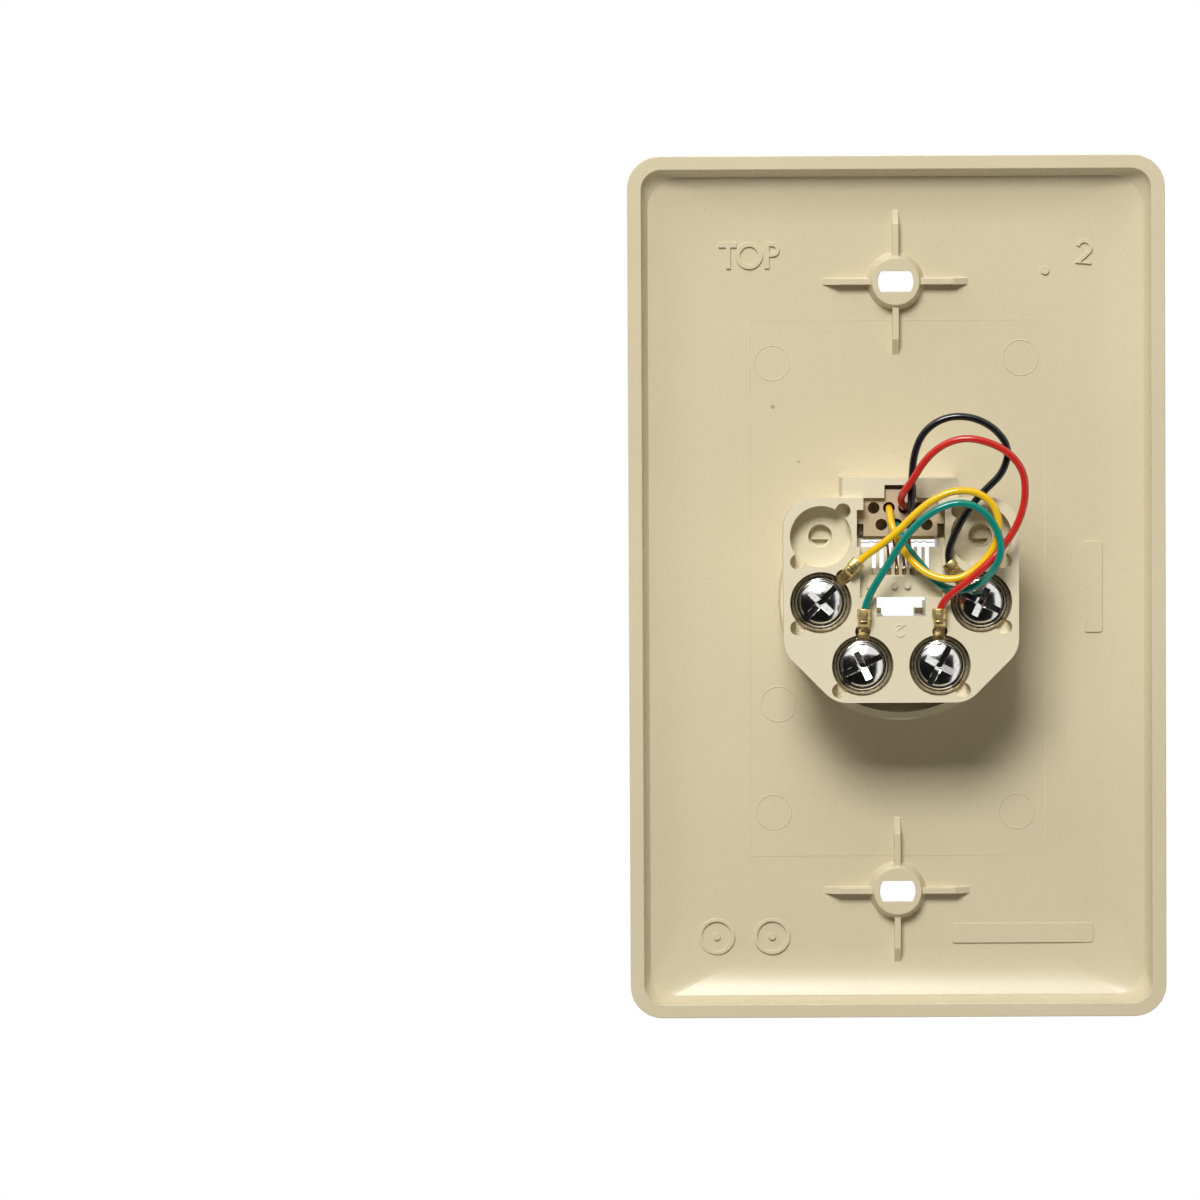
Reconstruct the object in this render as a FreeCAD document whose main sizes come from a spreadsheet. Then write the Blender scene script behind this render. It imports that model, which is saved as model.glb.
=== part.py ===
"""A one-gang telephone wall plate with its jack housing, terminals and four leads.

Frame: millimetres, +Z up, the front of the plate faces -Y, and Y = 0 is the wall
that the plate's rim rests on. The origin is the middle of the plate in that plane.
The housing stands behind the wall plane, on the +Y side, inside the wall box.
"""
import FreeCAD
import Part
import math
import os

import Sketcher

Vector = FreeCAD.Vector

SIZES = {
    # Wall plate: outline, pillow-shaped front and hollow back
    "plate_width": 73.2,
    "plate_height": 117.6,
    "plate_depth": 6.0,
    "plate_wall": 2.0,
    "edge_depth": 2.4,
    "corner_radius": 4.4,
    "corner_growth": 2.2,
    "shoulder_reach": 5.2,
    "rim_width": 1.87,
    "hollow_reach": 4.0,
    "hollow_corner": 2.7,
    "hollow_growth": 1.4,
    # Screw bosses of the plate, each with four ribs
    "screw_spacing": 83.34,
    "boss_base_radius": 3.9,
    "boss_top_radius": 3.25,
    "boss_height": 2.1,
    "rib_reach": 10.0,
    "rib_width": 0.88,
    "rib_height": 1.6,
    "rib_slope": 2.1,
    "sink_radius": 4.25,
    "sink_throat": 2.55,
    "sink_depth": 1.9,
    "screw_bore": 2.55,
    "web_reach": 2.44,
    "web_gap": 2.8,
    "web_thickness": 0.5,
    # Plug opening in the plate, stepped for the plug's latch
    "mouth_half": 5.47,
    "mouth_top": 6.4,
    "mouth_drop": 1.7,
    "step_half": 4.2,
    "step_drop": 3.9,
    "latch_half": 2.95,
    "latch_drop": 6.2,
    "mouth_chamfer": 0.3,
    # Jack housing: flange with terminal wells, skirt and barrel
    "flange_face": 13.5,
    "flange_thickness": 4.5,
    "flange_half": 15.85,
    "flange_top": 12.5,
    "flange_drop": 15.1,
    "flange_bevel": 6.9,
    "flange_corner": 4.1,
    "skirt_radius": 16.15,
    "skirt_wall": 1.04,
    "skirt_offset": 1.45,
    "skirt_recess": 1.5,
    "skirt_end": 1.0,
    "barrel_half": 7.85,
    "barrel_top": 15.1,
    "barrel_drop": 7.6,
    "barrel_step": 1.5,
    "well_radius": 4.15,
    "well_depth": 3.0,
    "notch_radius": 1.02,
    "notch_reach": 4.6,
    "notch_lean": 41.0,
    "relief_lean": 43.0,
    "well_outer_x": 10.8,
    "well_inner_x": 5.2,
    "well_upper_z": 7.3,
    "well_middle_drop": 1.6,
    "well_lower_drop": 10.1,
    "post_radius": 2.35,
    "post_foot": 0.0,
    "pilot_mouth": 1.6,
    "pilot_mouth_depth": 1.5,
    "pilot_radius": 1.25,
    "pilot_depth": 8.5,
    "shelf_half": 1.6,
    "shelf_rise": 1.65,
    "shelf_drop": 0.45,
    # Openings of the housing: plug space, carrier pocket, comb and latch hole
    "cavity_half": 5.3,
    "cavity_top": 6.85,
    "catch_plane": -2.5,
    "catch_end": 1.5,
    "catch_drop": 2.75,
    "channel_half": 2.27,
    "channel_end_drop": 3.5,
    "window_half": 3.3,
    "window_top_drop": 0.9,
    "comb_front": 10.6,
    "comb_top": 5.8,
    "comb_sink": 0.35,
    "comb_foot": 1.9,
    "slot_width": 0.6,
    "slot_sill": 3.0,
    "sill_thickness": 0.35,
    "slot_pitch": 1.02,
    "panel_half": 5.55,
    "cutout_half": 5.95,
    "cutout_top": 10.9,
    "cutout_neck": 5.05,
    "snap_top": 8.9,
    "snap_depth": 4.0,
    "ledge_depth": 1.2,
    "wire_gap": 2.1,
    "tab_slot_half": 2.15,
    "tab_slot_top": 14.2,
    "tab_slot_depth": 3.0,
    "pip_radius": 0.45,
    "pip_height": 0.5,
    "pip_z": 0.7,
    "pip_inner_x": 0.87,
    "pip_outer_x": 4.2,
    # Contact carrier: the insert that holds the leads and the contact wires
    "carrier_half": 4.97,
    "carrier_foot": 7.3,
    "carrier_top": 12.4,
    "carrier_front": 1.5,
    "carrier_sink": 0.8,
    "carrier_play": 0.06,
    "ear_thickness": 0.9,
    "tab_half": 2.0,
    "tab_top": 13.6,
    "tab_length": 1.6,
    "hook_reach": 0.55,
    "hook_length": 1.0,
    "upper_row": 11.1,
    "lower_row": 8.84,
    "lead_hole": 0.8,
    "lead_hole_depth": 3.2,
    "wire_radius": 0.23,
    "wire_play": 0.05,
    "wire_bend": 0.75,
    "wire_drop": 1.0,
    "wire_rest": 0.12,
    "wire_rise": 0.3,
    # Terminals: ring lugs, washers and screws
    "ring_radius": 3.4,
    "ring_thickness": 0.45,
    "ring_bore": 1.7,
    "strap_width": 1.5,
    "strap_thickness": 0.4,
    "strap_start": 4.0,
    "strap_end": 5.0,
    "lug_lift": 0.15,
    "crimp_radius": 0.78,
    "sleeve_radius": 0.95,
    "sleeve_start": 6.0,
    "sleeve_bore": 0.6,
    "lead_bite": 1.3,
    "washer_radius": 3.6,
    "washer_thickness": 0.5,
    "head_radius": 3.35,
    "head_rim": 0.4,
    "dome_radius": 2.85,
    "dome_height": 1.2,
    "shank_radius": 1.2,
    "shank_length": 7.0,
    "drive_slot_width": 0.9,
    "drive_slot_length": 5.9,
    "drive_slot_depth": 0.75,
    "drive_cross_width": 0.95,
    "drive_cross_length": 3.9,
    "drive_cross_depth": 1.2,
    # Leads
    "lead_radius": 0.5,
    "lead_root": 1.5,
    "lead_exit": 0.9,
    # A solid that grows out of another starts this far inside it
    "root_overlap": 0.4,
}

FORMULAS = {
    "front_face": "-plate_depth",
    "edge_plane": "-edge_depth",
    "field_plane": "plate_wall - plate_depth",
    "rib_root": "field_plane - root_overlap",
    "rib_face": "field_plane + rib_height",
    "rib_shoulder": "rib_reach - rib_slope",
    "boss_face": "field_plane + boss_height",
    "web_plane": "boss_face - web_thickness",
    "sink_floor": "sink_depth - plate_depth",
    "screw_z": "screw_spacing / 2",
    "flange_front": "flange_face - flange_thickness",
    "flange_root": "flange_front + root_overlap",
    "flange_side_drop": "flange_drop - flange_bevel",
    "flange_bevel_x": "flange_half - flange_bevel",
    "skirt_inner": "skirt_radius - skirt_wall",
    "skirt_floor": "flange_front - skirt_recess",
    "barrel_face": "flange_face - barrel_step",
    "well_floor": "flange_face - well_depth",
    "shelf_plane": "well_floor - pilot_mouth_depth",
    "shelf_length": "pilot_depth - pilot_mouth_depth",
    "shelf_top": "well_upper_z + shelf_rise",
    "shelf_foot": "well_upper_z - shelf_drop",
    "shelf_outer_x": "well_outer_x + shelf_half",
    "shelf_inner_x": "well_outer_x - shelf_half",
    "comb_face": "barrel_face - comb_sink",
    "wire_front": "carrier_front - wire_gap",
    "carrier_face": "barrel_face - carrier_sink",
    "pocket_half": "carrier_half + carrier_play",
    "pocket_foot": "carrier_foot - carrier_play",
    "pocket_top": "carrier_top + carrier_play",
    "snap_plane": "barrel_face - snap_depth",
    "ear_plane": "carrier_face - ear_thickness",
    "ear_depth": "carrier_sink + ear_thickness",
    "ear_half": "cutout_half - carrier_play",
    "ear_foot": "snap_top + carrier_play",
    "ear_top": "cutout_top - carrier_play",
    "cutout_rim": "flange_top + 1",
    "slot_foot": "comb_foot + 0.2",
    "sill_face": "comb_front + sill_thickness",
    "recess_depth": "barrel_face - sill_face",
    "hook_half": "carrier_half + hook_reach",
    "hook_foot": "carrier_foot + 0.2",
    "hook_top": "snap_top - 0.2",
    "tab_root": "carrier_top - root_overlap",
    "wire_hole": "wire_radius + wire_play",
    "lead_end_y": "carrier_face - lead_root",
    "strap_face": "well_depth + lug_lift",
    "barrel_axis": "strap_face + sleeve_radius",
    "seat_plane": "well_floor + ring_thickness + washer_thickness",
    "head_top": "head_rim + dome_height",
    "bore_length": "web_plane - sink_floor",
    "skirt_length": "flange_root - field_plane",
    "barrel_length": "barrel_face - field_plane",
    "post_length": "flange_root - post_foot",
    "cavity_length": "comb_front - field_plane",
    "latch_mouth_length": "catch_plane - field_plane",
    "catch_length": "catch_end - field_plane",
    "relief_length": "comb_front - catch_end",
    "channel_width": "2 * channel_half",
    "cutout_foot": "comb_top + 0.15",
    "pocket_length": "barrel_face - carrier_front",
    "ceiling_length": "comb_front - wire_front",
    "wire_gap_half": "2.5 * slot_pitch",
    "wire_gap_top": "upper_row + 0.8",
    "snap_foot": "carrier_foot - 0.3",
    "through_depth": "barrel_face - comb_front + root_overlap",
    "window_length": "flange_face - comb_front + root_overlap",
    "carrier_length": "carrier_face - carrier_front",
    "hook_plane": "snap_plane + 0.2",
    "hook_root": "carrier_half - root_overlap",
    "wire_turn_y": "carrier_front - wire_drop",
    "wire_turn_z": "carrier_foot - 0.3",
    "wire_end_y": "comb_face - 0.27",
    "wire_end_z": "slot_foot + wire_rest",
    "wire_bow_z": "slot_sill + wire_rise",
    "strap_root": "ring_radius - 0.6",
    "strap_top": "strap_face + strap_thickness",
    "strap_rise_start": "strap_start - strap_thickness",
    "strap_rise_end": "strap_end - strap_thickness",
    "crimp_axis": "strap_face + crimp_radius",
    "washer_plane": "well_floor + ring_thickness",
    "shank_shoulder": "shank_length - 1.5",
    "slot_half_length": "drive_slot_length / 2",
    "slot_half_width": "drive_slot_width / 2",
    "cross_half_length": "drive_cross_length / 2",
    "cross_half_width": "drive_cross_width / 2",
}

SECTION_ANGLES = (0, 15, 30, 45, 60, 75, 90)

CUTS = ("PartDesign::Pocket", "PartDesign::SubtractiveLoft", "PartDesign::SubtractiveCone",
        "PartDesign::SubtractiveCylinder")

# Each well: side of the housing (+1 is +X), names of its X and Z sizes, lean of its lug notch.
WELLS = {
    "upper_left": (1, "well_outer_x", "well_upper_z", "notch_lean"),
    "upper_right": (-1, "well_outer_x", "well_upper_z", "notch_lean"),
    "middle_left": (1, "well_outer_x", "-well_middle_drop", "notch_lean"),
    "middle_right": (-1, "well_outer_x", "-well_middle_drop", "notch_lean"),
    "lower_left": (1, "well_inner_x", "-well_lower_drop", "0"),
    "lower_right": (-1, "well_inner_x", "-well_lower_drop", "0"),
}

# Each lead: its well, position in the carrier, row, lug lean, lug length and screw slot turn.
TERMINALS = {
    "yellow": ("middle_left", 1.5, "upper_row", 42.0, 7.6, 46.0),
    "green": ("lower_left", 0.5, "lower_row", 1.5, 7.7, 25.5),
    "red": ("lower_right", -0.5, "upper_row", 1.0, 7.7, 62.0),
    "black": ("middle_right", -1.5, "lower_row", 40.0, 7.1, 154.0),
}

# Free stretch of each lead, from the carrier to its lug, chosen by hand.
ROUTES = {
    "yellow": [(1.3, 14.2, 8.8), (0.4, 14.3, 5.8), (-1.5, 14.8, 3.4), (-4, 15.7, 1.8), (-7.1, 16.1, 1.5),
               (-9.8, 16.2, 3.1), (-11.8, 16.4, 5.4), (-12.8, 16.7, 8.4), (-12.2, 17.1, 11.4), (-9.8, 17.2, 13.4),
               (-6.6, 17.3, 13.6), (-3.8, 17.2, 12.4), (-1.4, 16.9, 10.5), (0.7, 16.5, 8.3), (2.8, 15.8, 6.2)],
    "green": [(-0.4, 13.7, 6.2), (-2.3, 13.8, 3.5), (-4.3, 14, 0.9), (-7.3, 14.4, -0.2), (-10.3, 15.5, 0.9),
              (-11.9, 17.6, 2.8), (-13, 18.9, 5.6), (-12.2, 18.6, 8.7), (-10.1, 18.8, 11.3), (-7, 18.8, 12.1),
              (-3.9, 18.7, 11), (-1.4, 18.3, 9), (0.6, 17.7, 6.5), (2.1, 16.9, 3.9), (3.5, 16, 1.1)],
    "red": [(0.3, 15.1, 12.5), (-1.1, 16.8, 15), (-2.6, 17.8, 17.6), (-4.9, 18.6, 19.7), (-7.9, 19.1, 20.7),
            (-11.1, 19.2, 20.1), (-14, 18.8, 18.6), (-15.9, 18.2, 16.1), (-16.2, 17.7, 12.9), (-15.5, 17.3, 9.8),
            (-14, 17, 7), (-11.9, 17.3, 4.5), (-9.6, 17.2, 2.3), (-7.3, 16.3, 0.2)],
    "black": [(-1.3, 14.6, 11.5), (-1, 15.3, 14.9), (-1.2, 16.2, 18.2), (-2.4, 16.8, 21.4), (-5.3, 17.1, 23.4),
              (-8.8, 17.2, 23.5), (-12, 17.2, 22), (-14.1, 17.1, 19.2), (-13.2, 16.6, 15.8), (-10.7, 16.1, 13.5),
              (-8.5, 15.7, 10.9), (-7.1, 15.3, 7.7)],
}

document = FreeCAD.newDocument("wall_socket")
sheet = document.addObject("Spreadsheet::Sheet", "sizes")
rows = []
nodes = []


def store(name, content):
    """Give one number or formula a row of its own in the sheet, with the name as alias."""
    rows.append(name)
    address = "A%d" % len(rows)
    sheet.set(address, content)
    sheet.setAlias(address, name)
    return name


def formula(name, content):
    """Store a size that follows from others, and return its name."""
    store(name, "=" + content)
    sheet.recompute()
    return name


def value(term):
    """The number behind a term: a size's name, with or without a minus sign, or 0."""
    if term == "0":
        return 0.0
    if term.startswith("-"):
        return -value(term[1:])
    return float(sheet.get(term))


def ref(term):
    """The same term as an expression on the sheet."""
    if term == "0":
        return "0"
    if term.startswith("-"):
        return "-sizes." + term[1:]
    return "sizes." + term


def new_body(name):
    """Start a sub-part whose Label names its node."""
    body = document.addObject("PartDesign::Body", name)
    body.Label = name
    nodes.append(body)
    return body


def attach(body, item, role, x, y, at):
    """Set an item of the body on one of the body's own planes, at an offset from its origin."""
    planes = {plane.Role: plane for plane in body.Origin.OriginFeatures}
    item.AttachmentSupport = [(planes[role], "")]
    item.MapMode = "FlatFace"
    item.setExpression("AttachmentOffset.Base.x", ref(x))
    item.setExpression("AttachmentOffset.Base.y", ref(y))
    normal = "-" if role == "XZ_Plane" else ""
    item.setExpression("AttachmentOffset.Base.z", "%s(%s)" % (normal, ref(at)))


def sketch(body, name, at="0", role="XZ_Plane"):
    """A sketch on a plane of the body; on XZ its axes are X and Z, and at is its Y."""
    item = body.newObject("Sketcher::SketchObject", "%s_%s" % (body.Label, name))
    attach(body, item, role, "0", "0", at)
    return item


def tie(item, kind, first, second, term):
    """Hold a sketch point at a distance from the origin that the sheet gives."""
    number = item.addConstraint(Sketcher.Constraint(kind, -1, 1, first, second, value(term)))
    item.setExpression("Constraints[%d]" % number, ref(term))


def outline(item, points, dome=None):
    """A closed outline through named points; the edge called dome is an arc about the axis."""
    first = item.GeometryCount
    count = len(points)
    corners = [Vector(value(x), value(y), 0) for x, y in points]
    for index, corner in enumerate(corners):
        following = corners[(index + 1) % count]
        if index == dome:
            rise = following.y - corner.y
            radius = (corner.x ** 2 + rise ** 2) / (2 * rise)
            centre = Vector(0, following.y - radius, 0)
            start = math.atan2(corner.y - centre.y, corner.x)
            circle = Part.Circle(centre, Vector(0, 0, 1), radius)
            arc = item.addGeometry(Part.ArcOfCircle(circle, start, math.pi / 2))
            item.addConstraint(Sketcher.Constraint("PointOnObject", arc, 3, -2))
        else:
            item.addGeometry(Part.LineSegment(corner, following))
    for index, (x, y) in enumerate(points):
        before = first + (index - 1) % count
        item.addConstraint(Sketcher.Constraint("Coincident", before, 2, first + index, 1))
        tie(item, "DistanceX", first + index, 1, x)
        tie(item, "DistanceY", first + index, 1, y)


def rectangle(item, left, right, bottom, top):
    """A rectangle between four named sides."""
    outline(item, [(left, bottom), (right, bottom), (right, top), (left, top)])


def circle(item, x, y, radius):
    """A circle about a named point."""
    centre = Vector(value(x), value(y), 0)
    index = item.addGeometry(Part.Circle(centre, Vector(0, 0, 1), value(radius)))
    tie(item, "DistanceX", index, 3, x)
    tie(item, "DistanceY", index, 3, y)
    number = item.addConstraint(Sketcher.Constraint("Radius", index, value(radius)))
    item.setExpression("Constraints[%d]" % number, ref(radius))


def rounded_rectangle(item, half_width, half_height, radius):
    """A rectangle about the origin with four equal round corners."""
    x = value(half_width)
    y = value(half_height)
    bend = value(radius)
    inner_x = x - bend
    inner_y = y - bend
    sides = [((-inner_x, y), (inner_x, y)), ((x, inner_y), (x, -inner_y)),
             ((inner_x, -y), (-inner_x, -y)), ((-x, -inner_y), (-x, inner_y))]
    for start, end in sides:
        item.addGeometry(Part.LineSegment(Vector(*start, 0), Vector(*end, 0)))
    centres = [(inner_x, inner_y), (inner_x, -inner_y), (-inner_x, -inner_y), (-inner_x, inner_y)]
    quarters = [0.0, 1.5 * math.pi, math.pi, 0.5 * math.pi]
    for (centre_x, centre_y), begin in zip(centres, quarters):
        round_corner = Part.Circle(Vector(centre_x, centre_y, 0), Vector(0, 0, 1), bend)
        item.addGeometry(Part.ArcOfCircle(round_corner, begin, begin + math.pi / 2))
    joints = [(1, 1, 4, 1), (0, 2, 4, 2), (2, 1, 5, 1), (1, 2, 5, 2),
              (3, 1, 6, 1), (2, 2, 6, 2), (0, 1, 7, 1), (3, 2, 7, 2)]
    for joint in joints:
        item.addConstraint(Sketcher.Constraint("Tangent", *joint))
    for line in (0, 2):
        item.addConstraint(Sketcher.Constraint("Horizontal", line))
    for line in (1, 3):
        item.addConstraint(Sketcher.Constraint("Vertical", line))
    for arc in (5, 6, 7):
        item.addConstraint(Sketcher.Constraint("Equal", 4, arc))
    number = item.addConstraint(Sketcher.Constraint("Radius", 4, bend))
    item.setExpression("Constraints[%d]" % number, ref(radius))
    tie(item, "DistanceY", 0, 1, half_height)
    tie(item, "DistanceX", 1, 1, half_width)
    tie(item, "DistanceY", 2, 1, "-" + half_height)
    tie(item, "DistanceX", 3, 1, "-" + half_width)


def flat_sided_hole(item, centre_y, top, bottom, radius):
    """A round hole about (0, centre_y) with its top and bottom cut off by two level lines."""
    middle = value(centre_y)
    size = value(radius)
    lean = math.asin((value(top) - middle) / size)
    centre = Vector(0, middle, 0)
    ring = Part.Circle(centre, Vector(0, 0, 1), size)
    item.addGeometry(Part.ArcOfCircle(ring, -lean, lean))
    item.addGeometry(Part.ArcOfCircle(ring, math.pi - lean, math.pi + lean))
    half = size * math.cos(lean)
    rise = size * math.sin(lean)
    item.addGeometry(Part.LineSegment(Vector(half, middle + rise, 0), Vector(-half, middle + rise, 0)))
    item.addGeometry(Part.LineSegment(Vector(-half, middle - rise, 0), Vector(half, middle - rise, 0)))
    for joint in [(0, 2, 2, 1), (2, 2, 1, 1), (1, 2, 3, 1), (3, 2, 0, 1)]:
        item.addConstraint(Sketcher.Constraint("Coincident", *joint))
    item.addConstraint(Sketcher.Constraint("Horizontal", 2))
    item.addConstraint(Sketcher.Constraint("Horizontal", 3))
    item.addConstraint(Sketcher.Constraint("Coincident", 0, 3, 1, 3))
    item.addConstraint(Sketcher.Constraint("Equal", 0, 1))
    tie(item, "DistanceX", 0, 3, "0")
    tie(item, "DistanceY", 0, 3, centre_y)
    number = item.addConstraint(Sketcher.Constraint("Radius", 0, size))
    item.setExpression("Constraints[%d]" % number, ref(radius))
    tie(item, "DistanceY", 2, 1, top)
    tie(item, "DistanceY", 3, 1, bottom)


def pad(body, item, length, midplane=False, reverse=True):
    """Grow the sketch; from an XZ sketch it grows towards +Y unless reverse is off."""
    feature = body.newObject("PartDesign::Pad", item.Name + "_pad")
    feature.Profile = item
    feature.setExpression("Length", ref(length))
    feature.Midplane = midplane
    feature.Reversed = reverse
    item.Visibility = False
    return feature


def cut(body, item, length, midplane=False, reverse=True):
    """Cut the sketch away; from an XZ sketch it cuts towards -Y unless reverse is off."""
    feature = body.newObject("PartDesign::Pocket", item.Name + "_cut")
    feature.Profile = item
    feature.setExpression("Length", ref(length))
    feature.Midplane = midplane
    feature.Reversed = reverse
    item.Visibility = False
    return feature


def primitive(body, kind, name, x, z, at, sizes):
    """A cone or cylinder of the body; it starts at Y = at and runs towards -Y."""
    feature = body.newObject("PartDesign::" + kind, "%s_%s" % (body.Label, name))
    attach(body, feature, "XZ_Plane", x, z, at)
    for prop, term in sizes.items():
        feature.setExpression(prop, ref(term))
    return feature


def loft(body, kind, name, edge, depth, rise, reach, corner, growth):
    """A pillow of rounded rectangles whose inset and depth follow a quarter of an ellipse."""
    sections = []
    for angle in SECTION_ANGLES:
        tag = "%s_%d" % (name, angle)
        inset = formula(tag + "_inset", "%s + %s * (1 - cos(%d))" % (edge, reach, angle))
        width = formula(tag + "_width", "plate_width / 2 - " + inset)
        height = formula(tag + "_height", "plate_height / 2 - " + inset)
        radius = formula(tag + "_radius", "%s + %s * (%s - %s)" % (corner, growth, inset, edge))
        at = formula(tag + "_at", "-(%s + %s * sin(%d))" % (depth, rise, angle))
        item = sketch(body, tag, at=at)
        rounded_rectangle(item, width, height, radius)
        item.Visibility = False
        sections.append(item)
    feature = body.newObject("PartDesign::" + kind, "%s_%s" % (body.Label, name))
    feature.Profile = sections[0]
    feature.Sections = [(section, [""]) for section in sections[1:]]
    feature.Ruled = True
    return feature


def screw_boss(body, place, side):
    """One boss with its cross of ribs, round the hole of a mounting screw."""
    centre = formula(place + "_z", "%d * screw_z" % side)
    sizes = {"Radius1": "boss_top_radius", "Radius2": "boss_base_radius", "Height": "boss_height"}
    primitive(body, "AdditiveCone", place + "_boss", "0", centre, "boss_face", sizes)
    upright = sketch(body, place + "_upright_rib", role="YZ_Plane")
    low = formula(place + "_low", "%s - rib_reach" % centre)
    low_shoulder = formula(place + "_low_shoulder", "%s - rib_shoulder" % centre)
    high_shoulder = formula(place + "_high_shoulder", "%s + rib_shoulder" % centre)
    high = formula(place + "_high", "%s + rib_reach" % centre)
    outline(upright, [("rib_root", low), ("field_plane", low), ("rib_face", low_shoulder),
                      ("rib_face", high_shoulder), ("field_plane", high), ("rib_root", high)])
    pad(body, upright, "rib_width", midplane=True)
    level = sketch(body, place + "_level_rib", at=centre, role="XY_Plane")
    outline(level, [("-rib_reach", "rib_root"), ("rib_reach", "rib_root"),
                    ("rib_reach", "field_plane"), ("rib_shoulder", "rib_face"),
                    ("-rib_shoulder", "rib_face"), ("-rib_reach", "field_plane")])
    pad(body, level, "rib_width", midplane=True)


def screw_hole(body, place, side):
    """A countersunk hole from the front, narrowed at its back by two thin webs."""
    centre = place + "_z"
    sizes = {"Radius1": "sink_throat", "Radius2": "sink_radius", "Height": "sink_depth"}
    primitive(body, "SubtractiveCone", place + "_sink", "0", centre, "sink_floor", sizes)
    sizes = {"Radius": "screw_bore", "Height": "bore_length"}
    primitive(body, "SubtractiveCylinder", place + "_bore", "0", centre, "web_plane", sizes)
    opening = sketch(body, place + "_web_opening", at="boss_face")
    top = formula(place + "_web_top", "%s + web_gap / 2" % centre)
    bottom = formula(place + "_web_bottom", "%s - web_gap / 2" % centre)
    flat_sided_hole(opening, centre, top, bottom, "web_reach")
    cut(body, opening, "boss_height")


def mouth_points():
    """The stepped outline of the plug opening."""
    right = [("mouth_half", "mouth_top"), ("mouth_half", "-mouth_drop"),
             ("step_half", "-mouth_drop"), ("step_half", "-step_drop"),
             ("latch_half", "-step_drop"), ("latch_half", "-latch_drop")]
    left = [("-" + x, z) for x, z in reversed(right)]
    return right + left


def wall_plate():
    """The moulded plate: pillow-shaped shell, screw bosses and the plug opening."""
    body = new_body("wall_plate")
    formula("plate_half_width", "plate_width / 2")
    formula("plate_half_height", "plate_height / 2")
    edge = sketch(body, "edge", at="edge_plane")
    rounded_rectangle(edge, "plate_half_width", "plate_half_height", "corner_radius")
    pad(body, edge, "edge_depth")
    loft(body, "AdditiveLoft", "pillow", "0", "edge_depth", "(plate_depth - edge_depth)",
         "shoulder_reach", "corner_radius", "corner_growth")
    loft(body, "SubtractiveLoft", "hollow", "rim_width", "0", "(plate_depth - plate_wall)",
         "hollow_reach", "hollow_corner", "hollow_growth")
    places = {"upper": 1, "lower": -1}
    for place, side in places.items():
        screw_boss(body, place, side)
    for place, side in places.items():
        screw_hole(body, place, side)
    mouth = sketch(body, "mouth", at="front_face")
    outline(mouth, mouth_points())
    cut(body, mouth, "plate_wall", reverse=False)
    dress(body, "Chamfer", "mouth_edge", "Size", front_edges, "mouth_chamfer")


def dress(body, kind, name, prop, choose, size):
    """A fillet or chamfer on the edges that a chooser picks out of the body so far."""
    document.recompute()
    base = body.Tip
    feature = body.newObject("PartDesign::" + kind, name)
    feature.Base = (base, choose(base.Shape))
    feature.setExpression(prop, ref(size))
    return feature


def front_edges(shape):
    """The straight edges of the plug opening that lie in the plate's front face."""
    names = []
    limit = value("plate_half_width") / 2
    for number, edge in enumerate(shape.Edges, 1):
        box = edge.BoundBox
        in_face = abs(box.YMin - value("front_face")) + abs(box.YMax - value("front_face")) < 1e-4
        straight = edge.Curve.TypeId == "Part::GeomLine"
        if in_face and straight and max(abs(box.XMin), abs(box.XMax), abs(box.ZMin)) < limit:
            names.append("Edge%d" % number)
    return names


def depth_edges(shape):
    """The edges of a shape that run along Y."""
    names = []
    for number, edge in enumerate(shape.Edges, 1):
        if abs(edge.tangentAt(edge.FirstParameter).y) > 0.999 and edge.Curve.TypeId == "Part::GeomLine":
            names.append("Edge%d" % number)
    return names


def terminal_wells(body):
    """Six wells in the flange, each with two notches and a pilot hole, half shut in the upper two."""
    wells = sketch(body, "wells", at="flange_face")
    pilots = sketch(body, "pilots", at="well_floor")
    mouths = sketch(body, "pilot_mouths", at="well_floor")
    for name, (side, x, z, lean) in WELLS.items():
        centre = x if side > 0 else "-" + x
        circle(wells, centre, z, "well_radius")
        circle(pilots, centre, z, "pilot_radius")
        circle(mouths, centre, z, "pilot_mouth")
    cut(body, wells, "well_depth")
    for kind in ("lug", "relief"):
        item = sketch(body, kind + "_notches", at="flange_face")
        for name, (side, x, z, lean) in WELLS.items():
            turn = lean if kind == "lug" else "relief_lean"
            across = -side if kind == "lug" else side
            along = 1 if kind == "lug" else -1
            tag = "%s_%s" % (kind, name)
            notch_x = formula(tag + "_x", "%d * %s + %d * notch_reach * sin(%s)" % (side, x, across, turn))
            notch_z = formula(tag + "_z", "%s + %d * notch_reach * cos(%s)" % (z, along, turn))
            circle(item, notch_x, notch_z, "notch_radius")
        cut(body, item, "well_depth")
    cut(body, mouths, "pilot_mouth_depth")
    cut(body, pilots, "pilot_depth")
    shelves = sketch(body, "pilot_shelves", at="shelf_plane")
    rectangle(shelves, "shelf_inner_x", "shelf_outer_x", "shelf_foot", "shelf_top")
    rectangle(shelves, "-shelf_outer_x", "-shelf_inner_x", "shelf_foot", "shelf_top")
    pad(body, shelves, "shelf_length", reverse=False)


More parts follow.
